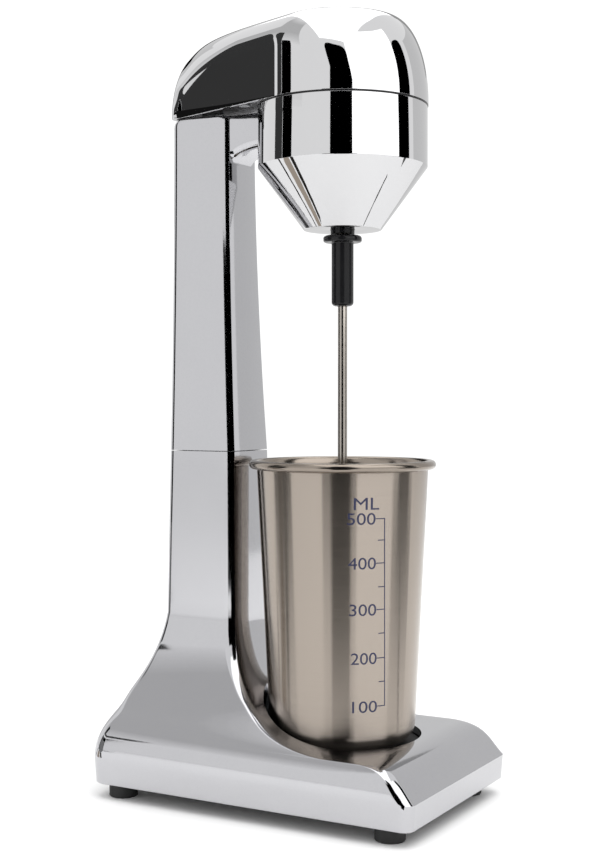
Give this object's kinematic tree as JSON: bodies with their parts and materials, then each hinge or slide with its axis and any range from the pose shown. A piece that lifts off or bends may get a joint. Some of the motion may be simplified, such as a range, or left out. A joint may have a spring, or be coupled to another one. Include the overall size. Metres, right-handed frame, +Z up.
{
  "type": "milkshake mixer",
  "caption": "Bar milkshake mixer: broad base with a cup pocket, slim column, head that tips back on a pin, motor-driven mixing rod and a loose steel cup.",
  "frame": {"origin": "centre of the base's footprint, on the surface that the feet stand on", "axes": "+Z up, -Y towards the front where the cup stands, +X to the right seen from the front"},
  "size_m": [0.1122, 0.1748, 0.3768],
  "materials": {
    "mirror_chrome": "polished mirror chrome",
    "satin_chrome": "satin bright chrome",
    "cup_steel": "fine brushed stainless steel",
    "polished_steel": "polished stainless steel",
    "zinc_steel": "zinc plated",
    "cast_alloy": "as cast",
    "laminated_steel": "varnished sheet",
    "copper": "enamelled wire",
    "bronze": "sintered",
    "black_gloss": "gloss",
    "black_plastic": "fine matt",
    "black_rubber": "matt",
    "carbon": "matt",
    "moulded": "matt"
  },
  "bodies": {
    "stand": {"base_shell": "satin_chrome", "bottom_plate": "black_plastic", "cup_pad": "black_rubber", "cord_gland": "black_plastic", "terminal_block": "moulded", "switch_lead": "black_rubber", "foot_front_left": "black_rubber", "foot_front_right": "black_rubber", "foot_rear_left": "black_rubber", "foot_rear_right": "black_rubber", "foot_screw_front_left": "zinc_steel", "foot_screw_front_right": "zinc_steel", "foot_screw_rear_left": "zinc_steel", "foot_screw_rear_right": "zinc_steel", "column_cover": "satin_chrome", "column_spine": "zinc_steel", "hinge_pin": "polished_steel", "column_screw_left": "zinc_steel", "column_screw_right": "zinc_steel", "spine_screw_left": "zinc_steel", "spine_screw_right": "zinc_steel", "pin_clip_left": "polished_steel", "pin_clip_right": "polished_steel", "switch_housing": "black_plastic"},
    "rocker": {"switch_rocker": "black_gloss"},
    "head": {"top_cover": "mirror_chrome", "motor_housing": "mirror_chrome", "head_frame": "cast_alloy", "shaft_seal": "black_gloss", "cover_screw_left": "zinc_steel", "cover_screw_right": "zinc_steel", "cover_screw_rear": "zinc_steel", "housing_screw_rear": "zinc_steel", "housing_screw_left": "zinc_steel", "housing_screw_right": "zinc_steel", "stator_core": "laminated_steel", "field_coil_front": "copper", "field_coil_rear": "copper", "motor_bracket_upper": "cast_alloy", "motor_bracket_lower": "cast_alloy", "bearing_upper": "bronze", "bearing_lower": "bronze", "motor_screw_left": "zinc_steel", "motor_screw_right": "zinc_steel", "bracket_screw_left": "zinc_steel", "bracket_screw_right": "zinc_steel", "brush_holder_front": "moulded", "brush_holder_rear": "moulded", "carbon_brush_front": "carbon", "carbon_brush_rear": "carbon"},
    "spindle": {"motor_shaft": "polished_steel", "armature": "laminated_steel", "commutator": "copper", "cooling_fan": "moulded", "drive_sleeve": "black_gloss", "mixing_rod": "polished_steel", "agitator": "polished_steel"},
    "cup": {"cup": "cup_steel"}
  },
  "joints": [
    {"name": "head_tilt", "type": "hinge", "parent": "stand", "child": "head", "pos_m": [0, 0.0552, 0.3273], "axis": [-1, 0, 0], "range_deg": [0, 30]},
    {"name": "cup_lift", "type": "hinge", "parent": "stand", "child": "cup", "pos_m": [0, 0.0552, 0.3273], "axis": [-1, 0, 0], "range_deg": [0, 30]},
    {"name": "spindle_spin", "type": "hinge", "parent": "head", "child": "spindle", "pos_m": [0, -0.0246, 0.3], "axis": [0, 0, 1], "continuous": true},
    {"name": "switch_rock", "type": "hinge", "parent": "stand", "child": "rocker", "pos_m": [0, 0.0603, 0.2619], "axis": [-1, 0, 0], "range_deg": [0, 20]}
  ],
  "couplings": [
    {"joint": "cup_lift", "follows": "head_tilt", "ratio": 1}
  ]
}
